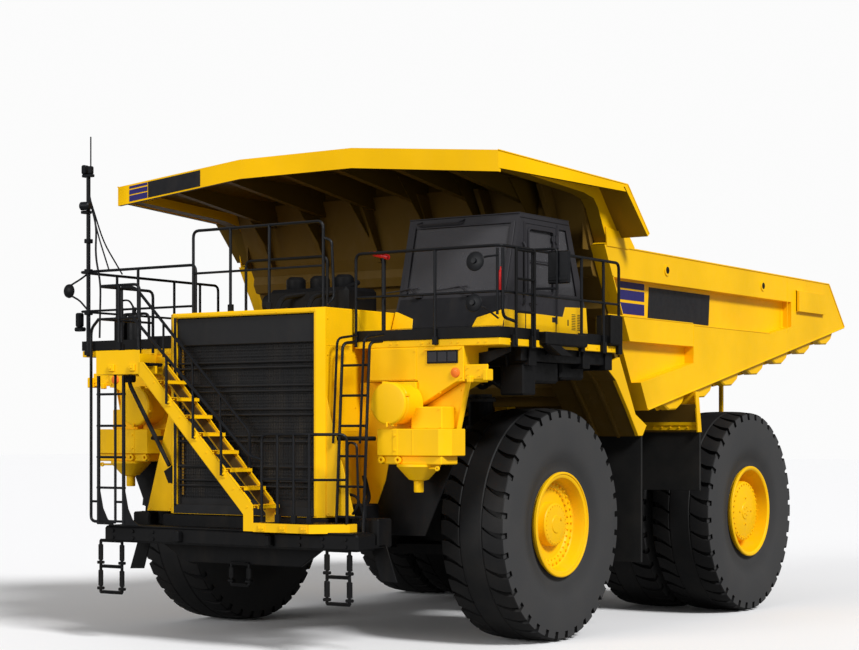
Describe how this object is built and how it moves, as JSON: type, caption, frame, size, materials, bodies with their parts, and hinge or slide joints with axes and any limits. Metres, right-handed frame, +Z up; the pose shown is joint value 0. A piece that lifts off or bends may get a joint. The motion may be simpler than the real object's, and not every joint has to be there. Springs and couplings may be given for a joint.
{
  "type": "mining dump truck",
  "caption": "Rigid two-axle quarry haul truck with a tipping rock body, steered front wheels, twin rear wheels and an opening cab door",
  "frame": {"origin": "on the ground, under the middle of the truck's outline", "axes": "+Z up, the front of the truck points to -Y, the truck's left side is +X"},
  "size_m": [7.84, 12.7579, 6.85],
  "materials": {
    "yellow_paint": "bright yellow enamel, dusty",
    "black_paint": "satin black paint",
    "cast_metal": "as cast, oily",
    "bright_steel": "ground rod surface",
    "tyre_rubber": "matt black with dust",
    "cab_grey_paint": "dark grey satin paint",
    "cab_glass": "tinted laminated glass",
    "seat_fabric": "dark woven cover",
    "dark_plastic": "grained dark plastic"
  },
  "bodies": {
    "chassis": {"frame": "black_paint", "front_bumper": "black_paint", "engine": "cast_metal", "transmission": "cast_metal", "rear_axle": "black_paint", "fuel_tank": "black_paint", "hydraulic_tank": "black_paint", "hood": "yellow_paint", "grille": "black_paint", "left_deck": "yellow_paint", "right_deck": "yellow_paint", "left_air_cleaner": "yellow_paint", "right_air_cleaner": "yellow_paint", "cab": "cab_grey_paint", "windscreen": "cab_glass", "rear_glass": "cab_glass", "operator_seat": "seat_fabric", "trainer_seat": "seat_fabric", "dashboard": "dark_plastic", "landing": "yellow_paint", "stairs": "yellow_paint", "platform": "yellow_paint", "left_deck_rails": "black_paint", "right_deck_rails": "black_paint", "landing_rails": "black_paint", "hood_rails": "black_paint", "platform_rails": "black_paint", "mast": "black_paint", "hood_ladder": "black_paint", "left_fender": "yellow_paint", "right_fender": "yellow_paint"},
    "cab_door": {"cab_door": "cab_grey_paint"},
    "left_knuckle": {"left_knuckle": "black_paint"},
    "right_knuckle": {"right_knuckle": "black_paint"},
    "tie_rod": {"tie_rod": "bright_steel"},
    "front_left_wheel": {"left_front_tyre": "tyre_rubber", "left_front_rim": "yellow_paint"},
    "front_right_wheel": {"right_front_tyre": "tyre_rubber", "right_front_rim": "yellow_paint"},
    "rear_left_wheels": {"left_rear_outer_tyre": "tyre_rubber", "left_rear_inner_tyre": "tyre_rubber", "left_rear_rim": "yellow_paint"},
    "rear_right_wheels": {"right_rear_outer_tyre": "tyre_rubber", "right_rear_inner_tyre": "tyre_rubber", "right_rear_rim": "yellow_paint"},
    "left_hoist_barrel": {"left_hoist_barrel": "black_paint"},
    "right_hoist_barrel": {"right_hoist_barrel": "black_paint"},
    "left_hoist_rod": {"left_hoist_rod": "bright_steel"},
    "right_hoist_rod": {"right_hoist_rod": "bright_steel"},
    "dump_bed": {"bed_floor": "yellow_paint", "left_bed_side": "yellow_paint", "right_bed_side": "yellow_paint", "bed_front_wall": "yellow_paint", "canopy": "yellow_paint", "left_front_mudguard": "yellow_paint", "right_front_mudguard": "yellow_paint", "left_rear_mudguard": "yellow_paint", "right_rear_mudguard": "yellow_paint"}
  },
  "joints": [
    {"name": "bed_tilt", "type": "hinge", "parent": "chassis", "child": "dump_bed", "pos_m": [0, 3.573, 2.95], "axis": [-1, 0, 0], "range_deg": [0, 48]},
    {"name": "left_steer", "type": "hinge", "parent": "chassis", "child": "left_knuckle", "pos_m": [1.75, -2.927, 1.53], "axis": [0, 0, 1], "range_deg": [-32, 32]},
    {"name": "right_steer", "type": "hinge", "parent": "chassis", "child": "right_knuckle", "pos_m": [-1.75, -2.927, 1.53], "axis": [0, 0, 1], "range_deg": [-32, 32]},
    {"name": "tie_rod_pivot", "type": "hinge", "parent": "left_knuckle", "child": "tie_rod", "pos_m": [1.75, -2.167, 1.08], "axis": [0, 0, 1], "range_deg": [-32, 32]},
    {"name": "front_left_roll", "type": "hinge", "parent": "left_knuckle", "child": "front_left_wheel", "pos_m": [2.56, -2.927, 1.53], "axis": [1, 0, 0], "continuous": true},
    {"name": "front_right_roll", "type": "hinge", "parent": "right_knuckle", "child": "front_right_wheel", "pos_m": [-2.56, -2.927, 1.53], "axis": [1, 0, 0], "continuous": true},
    {"name": "rear_left_roll", "type": "hinge", "parent": "chassis", "child": "rear_left_wheels", "pos_m": [2.79, 2.423, 1.53], "axis": [1, 0, 0], "continuous": true},
    {"name": "rear_right_roll", "type": "hinge", "parent": "chassis", "child": "rear_right_wheels", "pos_m": [-2.79, 2.423, 1.53], "axis": [1, 0, 0], "continuous": true},
    {"name": "cab_door_hinge", "type": "hinge", "parent": "chassis", "child": "cab_door", "pos_m": [2.99, -3.057, 4.7], "axis": [0, 0, 1], "range_deg": [0, 35]},
    {"name": "left_hoist_swing", "type": "hinge", "parent": "chassis", "child": "left_hoist_barrel", "pos_m": [0.94, 1.023, 1.45], "axis": [1, 0, 0], "range_deg": [-2, 0]},
    {"name": "left_hoist_slide", "type": "slide", "parent": "left_hoist_barrel", "child": "left_hoist_rod", "axis": [0, 0.5618, 0.8273], "range_m": [0, 1.07]},
    {"name": "right_hoist_swing", "type": "hinge", "parent": "chassis", "child": "right_hoist_barrel", "pos_m": [-0.94, 1.023, 1.45], "axis": [1, 0, 0], "range_deg": [-2, 0]},
    {"name": "right_hoist_slide", "type": "slide", "parent": "right_hoist_barrel", "child": "right_hoist_rod", "axis": [0, 0.5618, 0.8273], "range_m": [0, 1.07]}
  ],
  "couplings": [
    {"joint": "right_steer", "follows": "left_steer", "ratio": 1},
    {"joint": "tie_rod_pivot", "follows": "left_steer", "ratio": -1},
    {"joint": "left_hoist_swing", "follows": "bed_tilt", "ratio": -0.04},
    {"joint": "left_hoist_slide", "follows": "bed_tilt", "m_per_rad": 1.2667},
    {"joint": "right_hoist_swing", "follows": "bed_tilt", "ratio": -0.04},
    {"joint": "right_hoist_slide", "follows": "bed_tilt", "m_per_rad": 1.2667}
  ]
}
